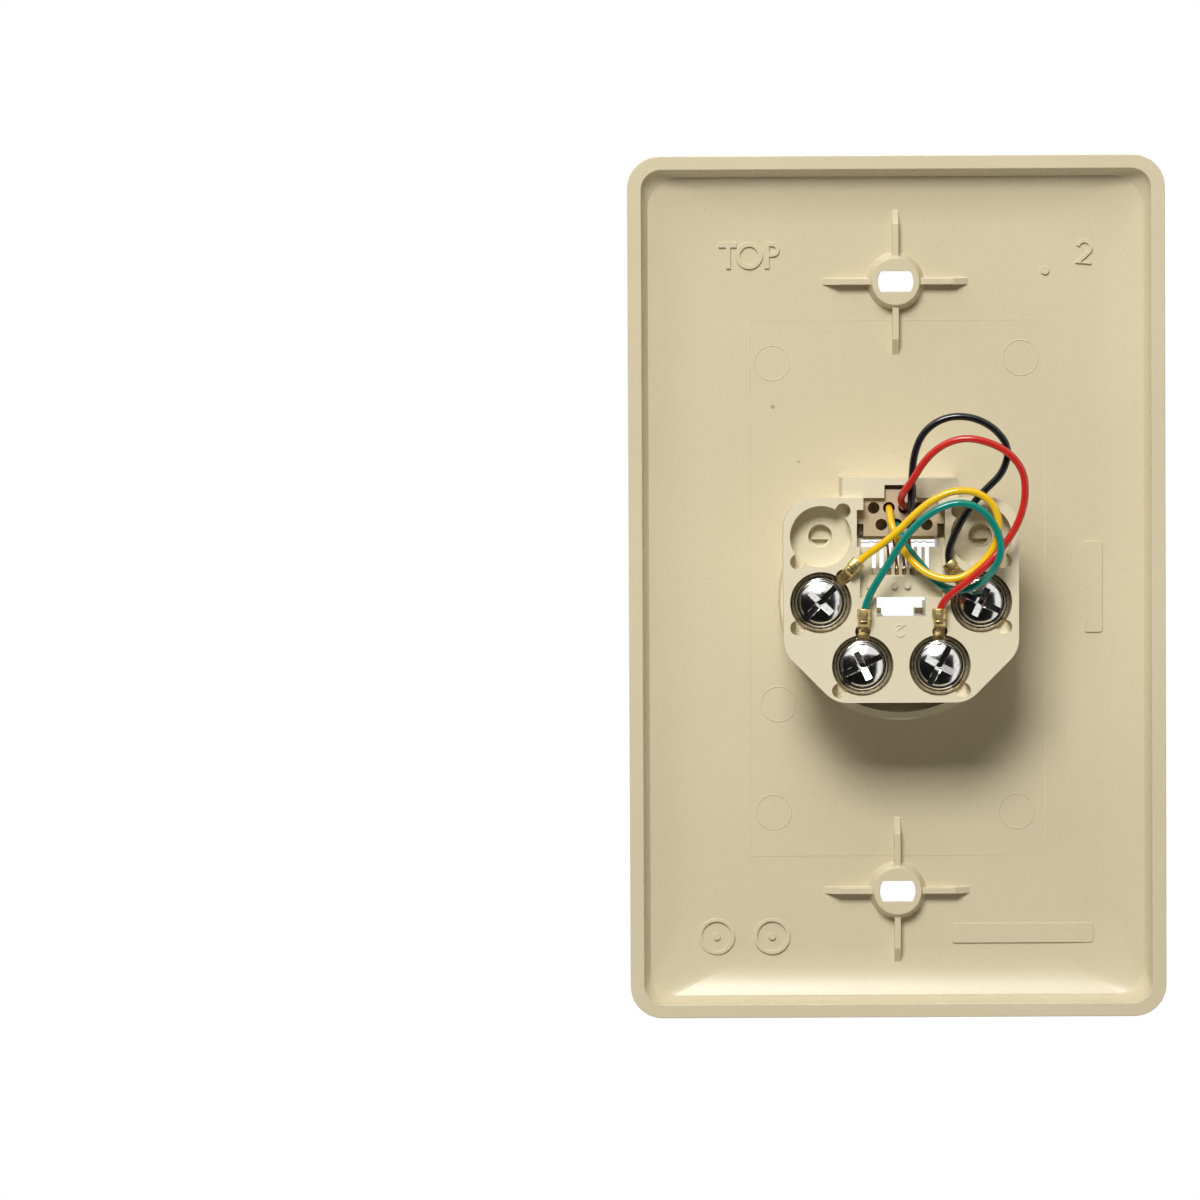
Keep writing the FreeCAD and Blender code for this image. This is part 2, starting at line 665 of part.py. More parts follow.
def plug_space(body):
    """The space for a plug and its latch, open to the front."""
    cavity = sketch(body, "cavity", at="field_plane")
    rectangle(cavity, "-cavity_half", "cavity_half", "-mouth_drop", "cavity_top")
    cut(body, cavity, "cavity_length", reverse=False)
    latch_mouth = sketch(body, "latch_mouth", at="field_plane")
    outline(latch_mouth, [("-step_half", "0"), ("step_half", "0"), ("step_half", "-step_drop"),
                          ("latch_half", "-step_drop"), ("latch_half", "-latch_drop"),
                          ("-latch_half", "-latch_drop"), ("-latch_half", "-step_drop"),
                          ("-step_half", "-step_drop")])
    cut(body, latch_mouth, "latch_mouth_length", reverse=False)
    catch = sketch(body, "catch", at="field_plane")
    rectangle(catch, "-step_half", "step_half", "-catch_drop", "0")
    cut(body, catch, "catch_length", reverse=False)
    relief = sketch(body, "latch_relief", at="catch_end")
    rectangle(relief, "-window_half", "window_half", "-channel_end_drop", "0")
    cut(body, relief, "relief_length", reverse=False)
    channel = sketch(body, "channel", role="YZ_Plane")
    outline(channel, [("field_plane", "-latch_drop"), ("comb_front", "-channel_end_drop"),
                      ("comb_front", "-window_top_drop"), ("field_plane", "-window_top_drop")])
    cut(body, channel, "channel_width", midplane=True)


def rear_openings(body):
    """Everything that is open to the rear: cut-out, carrier pocket, comb and latch window."""
    cutout = sketch(body, "cutout", at="flange_face")
    right = [("cutout_neck", "cutout_rim"), ("cutout_neck", "cutout_top"),
             ("cutout_half", "cutout_top"), ("cutout_half", "cutout_foot"),
             ("panel_half", "cutout_foot"), ("panel_half", "-window_top_drop")]
    outline(cutout, right + [("-" + x, z) for x, z in reversed(right)])
    cut(body, cutout, "barrel_step")
    pocket = sketch(body, "carrier_pocket", at="barrel_face")
    rectangle(pocket, "-pocket_half", "pocket_half", "pocket_foot", "pocket_top")
    cut(body, pocket, "pocket_length")
    ceiling = sketch(body, "ceiling", at="wire_front")
    rectangle(ceiling, "-pocket_half", "pocket_half", "0", "pocket_foot")
    cut(body, ceiling, "ceiling_length", reverse=False)
    gap = sketch(body, "wire_gap", at="carrier_front")
    rectangle(gap, "-wire_gap_half", "wire_gap_half", "0", "wire_gap_top")
    cut(body, gap, "wire_gap")
    tab_slot = sketch(body, "tab_slot", at="barrel_face")
    rectangle(tab_slot, "-tab_slot_half", "tab_slot_half", "carrier_foot", "tab_slot_top")
    cut(body, tab_slot, "tab_slot_depth")
    snaps = sketch(body, "snap_windows", at="barrel_face")
    rectangle(snaps, "-cutout_half", "-carrier_half", "snap_foot", "snap_top")
    rectangle(snaps, "carrier_half", "cutout_half", "snap_foot", "snap_top")
    cut(body, snaps, "snap_depth")
    ears = sketch(body, "ear_rests", at="barrel_face")
    rectangle(ears, "-cutout_half", "-carrier_half", "snap_top", "cutout_top")
    rectangle(ears, "carrier_half", "cutout_half", "snap_top", "cutout_top")
    cut(body, ears, "ear_depth")
    ledges = sketch(body, "snap_ledges", at="barrel_face")
    rectangle(ledges, "-cutout_half", "-carrier_half", "cutout_foot", "snap_foot")
    rectangle(ledges, "carrier_half", "cutout_half", "cutout_foot", "snap_foot")
    cut(body, ledges, "ledge_depth")
    comb = sketch(body, "comb_recess", at="barrel_face")
    rectangle(comb, "-panel_half", "panel_half", "comb_foot", "cutout_foot")
    cut(body, comb, "comb_sink")
    strip = sketch(body, "strip", at="barrel_face")
    rectangle(strip, "-cavity_half", "cavity_half", "comb_top", "pocket_foot")
    cut(body, strip, "through_depth")
    slots = sketch(body, "comb_slots", at="barrel_face")
    rests = sketch(body, "wire_rests", at="barrel_face")
    for index in range(8):
        left = formula("slot_%d_left" % index, "%.1f * slot_pitch - slot_width / 2" % (index - 3.5))
        right_side = formula("slot_%d_right" % index, "slot_%d_left + slot_width" % index)
        rectangle(slots, left, right_side, "slot_sill", "comb_top")
        rectangle(rests, left, right_side, "slot_foot", "slot_sill")
    cut(body, slots, "through_depth")
    cut(body, rests, "recess_depth")
    window = sketch(body, "latch_window", at="flange_face")
    rectangle(window, "-window_half", "window_half", "-channel_end_drop", "-window_top_drop")
    cut(body, window, "window_length")


def jack_housing():
    """The moulded housing behind the plate: barrel, round skirt, posts and terminal flange."""
    body = new_body("jack_housing")
    flange = sketch(body, "flange", at="flange_front")
    right = [("flange_half", "flange_top"), ("flange_half", "-flange_side_drop"),
             ("flange_bevel_x", "-flange_drop")]
    outline(flange, right + [("-" + x, z) for x, z in reversed(right)])
    pad(body, flange, "flange_thickness")
    dress(body, "Fillet", "flange_corners", "Radius", depth_edges, "flange_corner")
    skirt = sketch(body, "skirt", at="field_plane")
    circle(skirt, "0", "-skirt_offset", "skirt_radius")
    circle(skirt, "0", "-skirt_offset", "skirt_inner")
    pad(body, skirt, "skirt_length")
    end_wall = sketch(body, "skirt_end_wall", at="skirt_floor")
    circle(end_wall, "0", "-skirt_offset", "skirt_radius")
    pad(body, end_wall, "skirt_end", reverse=False)
    barrel = sketch(body, "barrel", at="field_plane")
    rectangle(barrel, "-barrel_half", "barrel_half", "-barrel_drop", "barrel_top")
    pad(body, barrel, "barrel_length")
    posts = sketch(body, "posts", at="post_foot")
    for side, x, z, lean in WELLS.values():
        circle(posts, x if side > 0 else "-" + x, z, "post_radius")
    pad(body, posts, "post_length")
    terminal_wells(body)
    plug_space(body)
    rear_openings(body)
    pips = sketch(body, "pips", at="barrel_face")
    for x in ("pip_inner_x", "pip_outer_x"):
        circle(pips, x, "pip_z", "pip_radius")
        circle(pips, "-" + x, "pip_z", "pip_radius")
    pad(body, pips, "pip_height")


def contact_carrier():
    """The insert in the top of the barrel: eight lead holes, a tab, two ears and two side hooks."""
    body = new_body("contact_carrier")
    block = sketch(body, "block", at="carrier_front")
    rectangle(block, "-carrier_half", "carrier_half", "carrier_foot", "carrier_top")
    pad(body, block, "carrier_length")
    tab = sketch(body, "tab", at="carrier_face")
    rectangle(tab, "-tab_half", "tab_half", "tab_root", "tab_top")
    pad(body, tab, "tab_length", reverse=False)
    hooks = sketch(body, "hooks", at="hook_plane")
    rectangle(hooks, "-hook_half", "-hook_root", "hook_foot", "hook_top")
    rectangle(hooks, "hook_root", "hook_half", "hook_foot", "hook_top")
    pad(body, hooks, "hook_length")
    ears = sketch(body, "ears", at="ear_plane")
    rectangle(ears, "-ear_half", "-hook_root", "ear_foot", "ear_top")
    rectangle(ears, "hook_root", "ear_half", "ear_foot", "ear_top")
    pad(body, ears, "ear_thickness")
    holes = sketch(body, "lead_holes", at="carrier_face")
    for index in range(8):
        x = formula("lead_hole_%d_x" % index, "%.1f * slot_pitch" % (3.5 - index))
        circle(holes, x, "lower_row" if index % 2 else "upper_row", "lead_hole")
    cut(body, holes, "lead_hole_depth")
    channels = sketch(body, "wire_channels", at="carrier_face")
    for name, (well, position, row, lean, length, turn) in TERMINALS.items():
        x = formula(name + "_x", "%.1f * slot_pitch" % position)
        circle(channels, x, row, "wire_hole")
    cut(body, channels, "carrier_length")


def rounded_path(points, bend=None):
    """Straight runs joined by tangent arcs; without a bend radius each arc is as wide as it can be."""
    edges = []
    radii = []
    start = points[0]
    for before, corner, after in zip(points, points[1:], points[2:]):
        incoming = (corner - before).normalize()
        outgoing = (after - corner).normalize()
        half_turn = incoming.getAngle(outgoing) / 2
        reach = 0.45 * min((corner - before).Length, (after - corner).Length)
        if bend:
            reach = bend * math.tan(half_turn)
        radius = reach / math.tan(half_turn)
        arc_start = corner - incoming * reach
        arc_end = corner + outgoing * reach
        inward = (outgoing - incoming).normalize()
        middle = corner + inward * (radius / math.cos(half_turn) - radius)
        edges.append(Part.LineSegment(start, arc_start).toShape())
        edges.append(Part.Arc(arc_start, middle, arc_end).toShape())
        radii.append(radius)
        start = arc_end
    edges.append(Part.LineSegment(start, points[-1]).toShape())
    return Part.Wire(edges), radii


def tube(name, points, radius, bend=None):
    """A round wire or lead along its path, as a node of its own."""
    path, radii = rounded_path(points, bend)
    ring = Part.makeCircle(radius, points[0], points[1] - points[0])
    solid = path.makePipeShell([Part.Wire([ring])], True, False)
    expected = path.Length * math.pi * radius ** 2
    if abs(solid.Volume - expected) > 0.005 * expected:
        raise RuntimeError("%s: volume %.2f, expected %.2f" % (name, solid.Volume, expected))
    print("%s: length %.1f mm, radii %s" % (name, path.Length, ["%.1f" % item for item in radii]))
    node = document.addObject("Part::Feature", name)
    node.Label = name
    node.Shape = solid
    nodes.append(node)
    return node


def contact_wire(name, row):
    """A springy contact wire: along the carrier, round its front, to the comb and into its rest."""
    x = value(name + "_x")
    points = [Vector(x, value("lead_end_y"), value(row)),
              Vector(x, value("wire_turn_y"), value(row)),
              Vector(x, value("wire_turn_y"), value("wire_turn_z")),
              Vector(x, value("wire_end_y"), value("wire_bow_z")),
              Vector(x, value("wire_end_y"), value("wire_end_z"))]
    tube("contact_wire_" + name, points, value("wire_radius"), value("wire_bend"))


def well_centre(well):
    """X and Z of a well, as two names that may carry a minus sign."""
    side, x, z, lean = WELLS[well]
    return (x if side > 0 else "-" + x), z


def lead(name, well, row, lean, length):
    """A lead from its hole in the carrier to the sleeve of its lug."""
    side = WELLS[well][0]
    centre_x, centre_z = well_centre(well)
    x = value(name + "_x")
    z = value(row)
    height = value("well_floor") + value("barrel_axis")
    across = -side * math.sin(math.radians(lean))
    along = math.cos(math.radians(lean))
    seat = length - value("lead_bite")
    turn = length + value("lead_exit")
    points = [Vector(x, value("lead_end_y"), z),
              Vector(x, value("carrier_face") + value("lead_exit"), z)]
    points += [Vector(*point) for point in ROUTES[name]]
    for reach in (turn, seat):
        points.append(Vector(value(centre_x) + across * reach, height, value(centre_z) + along * reach))
    tube("lead_" + name, points, value("lead_radius"))


def place(body, well, at, angle):
    """Stand a terminal part on the axis of its well, turned about that axis."""
    centre_x, centre_z = well_centre(well)
    body.Placement = FreeCAD.Placement(Vector(0, 0, 0), FreeCAD.Rotation(Vector(0, 1, 0), angle))
    body.setExpression("Placement.Base.x", ref(centre_x))
    body.setExpression("Placement.Base.y", ref(at))
    body.setExpression("Placement.Base.z", ref(centre_z))


def ring_lug(name, well, lean, length):
    """A stamped ring lug: ring under the washer, strap up through the notch, crimped sleeve."""
    body = new_body("ring_lug_" + name)
    ring = sketch(body, "ring")
    circle(ring, "0", "0", "ring_radius")
    circle(ring, "0", "0", "ring_bore")
    pad(body, ring, "ring_thickness")
    strap = sketch(body, "strap", role="YZ_Plane")
    outline(strap, [("0", "strap_root"), ("0", "strap_start"), ("strap_face", "strap_end"),
                    ("strap_face", "sleeve_start"), ("strap_top", "sleeve_start"),
                    ("strap_top", "strap_rise_end"), ("ring_thickness", "strap_rise_start"),
                    ("ring_thickness", "strap_root")])
    pad(body, strap, "strap_width", midplane=True)
    end = store("lug_end_" + name, str(length))
    crimp_length = formula("crimp_length_" + name, "%s - strap_end" % end)
    sleeve_length = formula("sleeve_length_" + name, "%s - sleeve_start" % end)
    crimp = sketch(body, "crimp", at="strap_end", role="XY_Plane")
    circle(crimp, "0", "crimp_axis", "crimp_radius")
    pad(body, crimp, crimp_length, reverse=False)
    sleeve = sketch(body, "sleeve", at="sleeve_start", role="XY_Plane")
    circle(sleeve, "0", "barrel_axis", "sleeve_radius")
    pad(body, sleeve, sleeve_length, reverse=False)
    bore = sketch(body, "bore", at=end, role="XY_Plane")
    circle(bore, "0", "barrel_axis", "sleeve_bore")
    cut(body, bore, "lead_bite", reverse=False)
    place(body, well, "well_floor", -WELLS[well][0] * lean)


def washer(name, well):
    """A flat washer between the lug's ring and the screw's head."""
    body = new_body("washer_" + name)
    ring = sketch(body, "ring")
    circle(ring, "0", "0", "washer_radius")
    circle(ring, "0", "0", "ring_bore")
    pad(body, ring, "washer_thickness")
    place(body, well, "washer_plane", 0)


def terminal_screw(name, well, turn):
    """A domed screw with a slot and a cross in its head; its thread is left plain."""
    body = new_body("terminal_screw_" + name)
    profile = sketch(body, "profile", role="XY_Plane")
    outline(profile, [("0", "-shank_length"), ("shank_radius", "-shank_shoulder"),
                      ("shank_radius", "0"), ("head_radius", "0"), ("head_radius", "head_rim"),
                      ("dome_radius", "head_rim"), ("0", "head_top")], dome=5)
    turned = body.newObject("PartDesign::Revolution", body.Label + "_turned")
    turned.Profile = profile
    turned.ReferenceAxis = (profile, ["V_Axis"])
    turned.Angle = 360
    profile.Visibility = False
    recesses = {"slot": ("slot_half_length", "slot_half_width", "drive_slot_depth"),
                "cross": ("cross_half_width", "cross_half_length", "drive_cross_depth"),
                "cross_arm": ("cross_half_length", "cross_half_width", "drive_cross_depth")}
    for kind, (half_x, half_z, depth) in recesses.items():
        item = sketch(body, kind, at="head_top")
        rectangle(item, "-" + half_x, half_x, "-" + half_z, half_z)
        cut(body, item, depth)
    place(body, well, "seat_plane", turn)


def check_and_write():
    """Refuse any failed object or cut that removed nothing, then write every node."""
    document.recompute()
    faults = []
    for item in document.Objects:
        if "Invalid" in item.State or "Error" in item.State:
            faults.append("%s is %s" % (item.Name, item.State))
        elif item.TypeId in CUTS and item.BaseFeature.Shape.Volume - item.Shape.Volume < 1e-3:
            faults.append(item.Name + " cuts nothing")
        elif item.TypeId == "Sketcher::SketchObject" and not item.FullyConstrained:
            faults.append(item.Name + " is not fully constrained")
    for node in nodes:
        shape = node.Shape
        if shape.isNull() or not shape.isValid() or len(shape.Solids) != 1:
            faults.append("%s is not one valid solid" % node.Label)
    if faults:
        raise RuntimeError("; ".join(faults))
    os.makedirs("parts", exist_ok=True)
    for node in nodes:
        node.Shape.exportStep("parts/%s.step" % node.Label)
    print("%d nodes written" % len(nodes))


for size_name, number in SIZES.items():
    store(size_name, str(number))
for size_name, content in FORMULAS.items():
    store(size_name, "=" + content)
document.recompute()

wall_plate()
jack_housing()
contact_carrier()
for colour, (well, position, row, lean, length, turn) in TERMINALS.items():
    contact_wire(colour, row)
    ring_lug(colour, well, lean, length)
    washer(colour, well)
    terminal_screw(colour, well, turn)
    lead(colour, well, row, lean, length)
check_and_write()
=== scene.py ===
"""Telephone wall socket, seen from behind: ivory plate, jack housing, terminals and leads.

Lengths are in mm in the row frame, with +Y into the wall and +Z up, and angles are in degrees.
"""

import math
from collections import namedtuple

import bmesh
import bpy
from mathutils import Matrix, Vector


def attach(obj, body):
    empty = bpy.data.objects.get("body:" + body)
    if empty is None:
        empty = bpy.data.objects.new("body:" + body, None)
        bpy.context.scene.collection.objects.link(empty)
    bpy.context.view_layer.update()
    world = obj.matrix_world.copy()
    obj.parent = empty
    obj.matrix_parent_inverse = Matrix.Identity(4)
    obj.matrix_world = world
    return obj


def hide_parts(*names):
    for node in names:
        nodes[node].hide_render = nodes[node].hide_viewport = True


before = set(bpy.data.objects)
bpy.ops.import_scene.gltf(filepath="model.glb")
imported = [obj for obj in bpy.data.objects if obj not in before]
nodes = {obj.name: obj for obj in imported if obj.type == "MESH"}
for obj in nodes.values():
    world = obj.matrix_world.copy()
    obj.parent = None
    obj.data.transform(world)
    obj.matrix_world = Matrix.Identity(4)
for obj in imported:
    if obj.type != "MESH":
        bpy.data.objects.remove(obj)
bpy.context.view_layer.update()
scene = bpy.context.scene
MM = 0.001

# ---------------------------------------------------------------- sizes

# Heights along Y.
FIELD_Y = -4.0  # back of the plate's field
LIP_Y = 1.5  # foot of the carrier's lip
PILOT_Y = 7.45  # foot of the floors of the open pilot holes
WELL_Y = 10.5  # floor of the wells
CARRIER_Y = 11.2  # face of the carrier
SEAT_Y = 11.45  # face that the screw heads rest on
FLANGE_Y = 13.5  # face of the flange
SLEEVE_Y = 14.6  # axis of the lug sleeves

# Centre of the well, side of the housing, lean of the lug from upright, distance from the well's
# axis to the end of the lug, and turn of the screw's slot.
Terminal = namedtuple("Terminal", "x z side lean length turn")
TERMINALS = {
    "yellow": Terminal(10.8, -1.6, 1, 42.0, 7.6, 46.0),
    "green": Terminal(5.2, -10.1, 1, 1.5, 7.7, 25.5),
    "red": Terminal(-5.2, -10.1, -1, 1.0, 7.7, 62.0),
    "black": Terminal(-10.8, -1.6, -1, 40.0, 7.1, 154.0),
}

# Profiles turned about the Y axis: (radius, height) over the seat, or for RING_PROFILE over the
# floor of the well.
AXIS_GAP = 0.05
SCREW_PROFILE = [(AXIS_GAP, -7.0), (1.2, -5.5), (1.2, 0.0), (3.35, 0.0), (3.37, 0.14),
                 (3.36, 0.30), (3.30, 0.42), (3.20, 0.47), (3.06, 0.47), (2.94, 0.42),
                 (2.88, 0.34), (2.83, 0.34)]
WASHER_PROFILE = [(1.9, 0.0), (3.42, 0.0), (3.50, 0.03), (3.62, 0.02), (3.80, -0.04),
                  (3.93, -0.15), (3.98, -0.30), (3.96, -0.42), (1.9, -0.42)]
RING_PROFILE = [(1.7, 0.0), (3.4, 0.0), (3.4, 0.45), (1.7, 0.45)]

# Dome of a screw head: its radius at the foot, the radius of its sphere, its top and its rings.
DOME_RADIUS = 2.82
DOME_SPHERE = 6.1
DOME_TOP = 1.6
DOME_STEPS = 24

# Recesses of the screw's drive: half length and half width at the top, the same at the bottom,
# and the heights of the top and the bottom.
DRIVE_SLOT = (2.90, 0.43, 2.90, 0.40, 1.9, 0.74)
DRIVE_ARM = (2.85, 0.50, 0.25, 0.34, 1.62, 0.32)

# Sections of a lug from its ring to the end of its sleeve: distance from the well's axis, height
# over the floor of the well, tilt, half width, half thickness and squareness.
LUG_SECTIONS = [
    (3.20, 1.18, 0, 0.84, 0.20, 6.0), (3.75, 1.20, 12, 0.84, 0.20, 6.0),
    (4.10, 1.42, 38, 0.83, 0.20, 6.0), (4.45, 1.90, 55, 0.82, 0.20, 6.0),
    (4.75, 2.42, 60, 0.80, 0.21, 6.0), (5.00, 2.92, 58, 0.80, 0.25, 5.0),
    (5.25, 3.40, 35, 0.80, 0.36, 4.0), (5.45, 3.75, 15, 0.80, 0.55, 3.2),
    (5.60, 3.93, 0, 0.82, 0.62, 3.0), (6.00, 3.97, 0, 0.81, 0.66, 3.0),
    (6.12, 3.97, 0, 0.76, 0.60, 3.0), (6.20, 4.00, 0, 0.76, 0.60, 3.0),
    (6.30, 4.08, 0, 0.94, 0.88, 2.8), (7.50, 4.10, 0, 0.96, 0.93, 2.8),
    (7.62, 4.10, 0, 0.94, 0.90, 2.6), (7.62, 4.10, 0, 0.72, 0.68, 2.2),
    (7.50, 4.10, 0, 0.64, 0.60, 2.0), (6.50, 4.10, 0, 0.60, 0.56, 2.0),
]
# The sections between these two distances are stretched to the lug's own length.
SLEEVE_FROM = 5.25
SLEEVE_END = 7.62

LEAD_HOLES = {"yellow": (1.53, 11.1), "green": (0.51, 8.84), "red": (-0.51, 11.1),
              "black": (-1.53, 8.84)}
LEAD_DIAMETER = 1.0
LEAD_ROOT = 1.5  # depth of a lead's start in the carrier
LEAD_RISE = 0.9  # straight length over the carrier's face
LEAD_SHIFT = -0.4  # sideways move of the free points between the first and the last
LEAD_LEAVE = 0.45  # straight length past the end of the lug
LEAD_BITE = 1.3  # depth of a lead's end in its sleeve

# Free stretch of each lead, the same points as its CAD route.
ROUTES = {
    "yellow": [(1.3, 14.2, 8.8), (0.4, 14.3, 5.8), (-1.5, 14.8, 3.4), (-4, 15.7, 1.8),
               (-7.1, 16.1, 1.5), (-9.8, 16.2, 3.1), (-11.8, 16.4, 5.4), (-12.8, 16.7, 8.4),
               (-12.2, 17.1, 11.4), (-9.8, 17.2, 13.4), (-6.6, 17.3, 13.6), (-3.8, 17.2, 12.4),
               (-1.4, 16.9, 10.5), (0.7, 16.5, 8.3), (2.8, 15.8, 6.2)],
    "green": [(-0.4, 13.7, 6.2), (-2.3, 13.8, 3.5), (-4.3, 14, 0.9), (-7.3, 14.4, -0.2),
              (-10.3, 15.5, 0.9), (-11.9, 17.6, 2.8), (-13, 18.9, 5.6), (-12.2, 18.6, 8.7),
              (-10.1, 18.8, 11.3), (-7, 18.8, 12.1), (-3.9, 18.7, 11), (-1.4, 18.3, 9),
              (0.6, 17.7, 6.5), (2.1, 16.9, 3.9), (3.5, 16, 1.1)],
    "red": [(0.3, 15.1, 12.5), (-1.1, 16.8, 15), (-2.6, 17.8, 17.6), (-4.9, 18.6, 19.7),
            (-7.9, 19.1, 20.7), (-11.1, 19.2, 20.1), (-14, 18.8, 18.6), (-15.9, 18.2, 16.1),
            (-16.2, 17.7, 12.9), (-15.5, 17.3, 9.8), (-14, 17, 7), (-11.9, 17.3, 4.5),
            (-9.6, 17.2, 2.3), (-7.3, 16.3, 0.2)],
    "black": [(-1.3, 14.6, 11.5), (-1, 15.3, 14.9), (-1.2, 16.2, 18.2), (-2.4, 16.8, 21.4),
              (-5.3, 17.1, 23.4), (-8.8, 17.2, 23.5), (-12, 17.2, 22), (-14.1, 17.1, 19.2),
              (-13.2, 16.6, 15.8), (-10.7, 16.1, 13.5), (-8.5, 15.7, 10.9), (-7.1, 15.3, 7.7)],
}

# Raised marks on the back of the plate. A blank pad is left, right, foot and top as seen from
# behind, where +X is on the left.
SUNK = 0.05  # how far each mark reaches into the face under it
RELIEF = 0.32
PAD_RELIEF = 0.24
MARK_BEVEL = 0.05
LETTER_TOP = 47.14
LETTER_FOOT = 43.51
LETTER_STROKE = 0.63
ROUND_MARKS = [(24.76, -47.93), (17.18, -47.93)]
ROUND_RADIUS = 2.25
ROUND_STROKE = 0.45
PIP_RADIUS = 0.5
GATE_DOT = (-20.44, 43.13)
DOT_RADIUS = 0.6
BLANK_PADS = {"blank_bar": (-7.5, -26.85, -48.95, -46.25),
              "blank_strip": (-25.75, -28.2, -6.4, 6.1)}
PAD_CORNER = 0.4
EJECTOR_MARKS = [(16.2, -16.1), (16.9, 30.6), (-17.1, 31.2), (16.9, -30.9), (-16.4, -30.9)]
EJECTOR_RADIUS = 2.4
WITNESS_CORNERS = [(20.0, -36.9), (20.0, 36.4), (-20.4, 36.4), (-20.4, -36.9)]

# Floors of the two open pilot holes.
PILOT_CENTRES = {"left": (10.8, 7.3), "right": (-10.8, 7.3)}
PILOT_RADIUS = 1.24
PILOT_FLOOR = 0.65

# Lip of the carrier: its half length, its place along Z, its thickness and height, and its rests
# over the slots of the comb, by half width at the foot, half width at the top and rise.
LIP_HALF = 5.03
LIP_Z = 6.16
LIP_THICKNESS = 0.07
LIP_HEIGHT = 0.3
LIP_REST = (0.28, 0.14, 0.18)
SLOTS = 8
SLOT_PITCH = 1.02

# Sweep of the plate's back up to its walls.
PLATE_HALF = (36.6, 58.8)
COVE_OUTER = 2.6  # inset of its outer edge from the plate's outline
COVE_REACH = 8.0  # from there to its inner edge
COVE_HEIGHT = 1.6  # over the field at the outer edge
COVE_POWER = 2.5  # of the fall from there
COVE_DIVE = 0.02  # depth of the inner edge under the field
COVE_FOOT = -0.1  # underside
COVE_CORNER = 3.2  # corner radius at the outer edge
COVE_OPENING = 0.9  # growth of that radius per mm of inset
COVE_STEPS = 24

# Lights, in metres and watts: place, width, height and power. They aim at the origin.
LIGHTS = {
    "key": ((0.22, 1.0, 0.71), 0.46, 0.38, 14.4),
    "overhead": ((0.35, 0.55, 0.95), 1.5, 0.6, 4.1),
    "front_key": ((-0.3, -0.8, 0.9), 0.8, 0.5, 21.0),
}
FILL = (0.068, 0.059, 0.040)  # light of the surroundings on the object
FLOOR_REACH = 1.2  # metres
FLOOR_Z = -0.8  # metres
# Corners of the dark card, in metres.
CARD = [(-0.4, 0.5, -1.6), (2.0, 0.5, -1.6), (2.0, 0.5, 0.24), (-0.4, 0.5, 0.24)]

CAMERA_AIM = (40.55, 0.0, -1.55)
CAMERA_ELEVATION = 2.1
CAMERA_ROLL = -0.28
CAMERA_DISTANCE = 1.05  # metres
CAMERA_LENS = 231.0
CAMERA_SENSOR = 36.0


def point(x, y, z):
    """Millimetres to metres."""
    return Vector((x, y, z)) * MM


# ---------------------------------------------------------------- materials


def new_material(name):
    """A material, its node tree and its main shader."""
    item = bpy.data.materials.new(name)
    item.use_nodes = True
    return item, item.node_tree, item.node_tree.nodes["Principled BSDF"]


def coordinates(tree):
    """Object coordinates in millimetres."""
    source = tree.nodes.new("ShaderNodeTexCoord")
    mapping = tree.nodes.new("ShaderNodeMapping")
    mapping.inputs["Scale"].default_value = (1000.0, 1000.0, 1000.0)
    tree.links.new(source.outputs["Object"], mapping.inputs["Vector"])
    return mapping.outputs["Vector"]


def noise(tree, vector, scale, detail):
    item = tree.nodes.new("ShaderNodeTexNoise")
    item.inputs["Scale"].default_value = scale
    item.inputs["Detail"].default_value = detail
    tree.links.new(vector, item.inputs["Vector"])
    return item.outputs["Fac"]


def ramp(tree, source, stops):
    """Colours along a value, from stops of (position, colour)."""
    item = tree.nodes.new("ShaderNodeValToRGB")
    while len(item.color_ramp.elements) < len(stops):
        item.color_ramp.elements.new(0.5)
    for element, (position, colour) in zip(item.color_ramp.elements, stops):
        element.position = position
        element.color = (*colour, 1.0)
    tree.links.new(source, item.inputs["Fac"])
    return item.outputs["Color"]


def roughen(tree, source, shader, low, high):
    """Let the roughness vary with a noise."""
    level = ramp(tree, source, [(0.3, (low,) * 3), (0.7, (high,) * 3)])
    tree.links.new(level, shader.inputs["Roughness"])


def bump(tree, source, shader, strength, distance):
    item = tree.nodes.new("ShaderNodeBump")
    item.inputs["Strength"].default_value = strength
    item.inputs["Distance"].default_value = distance
    tree.links.new(source, item.inputs["Height"])
    tree.links.new(item.outputs["Normal"], shader.inputs["Normal"])


def speck(tree, vector, below, place, size, strength):
    """Lay a small dark speck over a colour."""
    away = tree.nodes.new("ShaderNodeVectorMath")
    away.operation = "DISTANCE"
    tree.links.new(vector, away.inputs[0])
    away.inputs[1].default_value = place
    mask = ramp(tree, away.outputs["Value"], [(size * 0.4, (strength,) * 3), (size, (0.0,) * 3)])
    item = tree.nodes.new("ShaderNodeMix")
    item.data_type = "RGBA"
    tree.links.new(mask, item.inputs["Factor"])
    tree.links.new(below, item.inputs["A"])
    item.inputs["B"].default_value = (0.25, 0.20, 0.12, 1.0)
    return item.outputs["Result"]


def plastic(name, light, dark, rough, specks=()):
    """Moulded plastic: slow drift of tone, fine grain, and specks of dirt at given places."""
    item, tree, shader = new_material(name)
    vector = coordinates(tree)
    tone = noise(tree, vector, 0.035, 2.0)
    colour = ramp(tree, tone, [(0.35, dark), (0.65, light)])
    for place, size, strength in specks:
        colour = speck(tree, vector, colour, place, size, strength)
    tree.links.new(colour, shader.inputs["Base Color"])
    grain = noise(tree, vector, 2.2, 4.0)
    roughen(tree, grain, shader, rough - 0.04, rough + 0.05)
    bump(tree, grain, shader, 0.06, 0.00002)
    shader.inputs["IOR"].default_value = 1.52
    return item


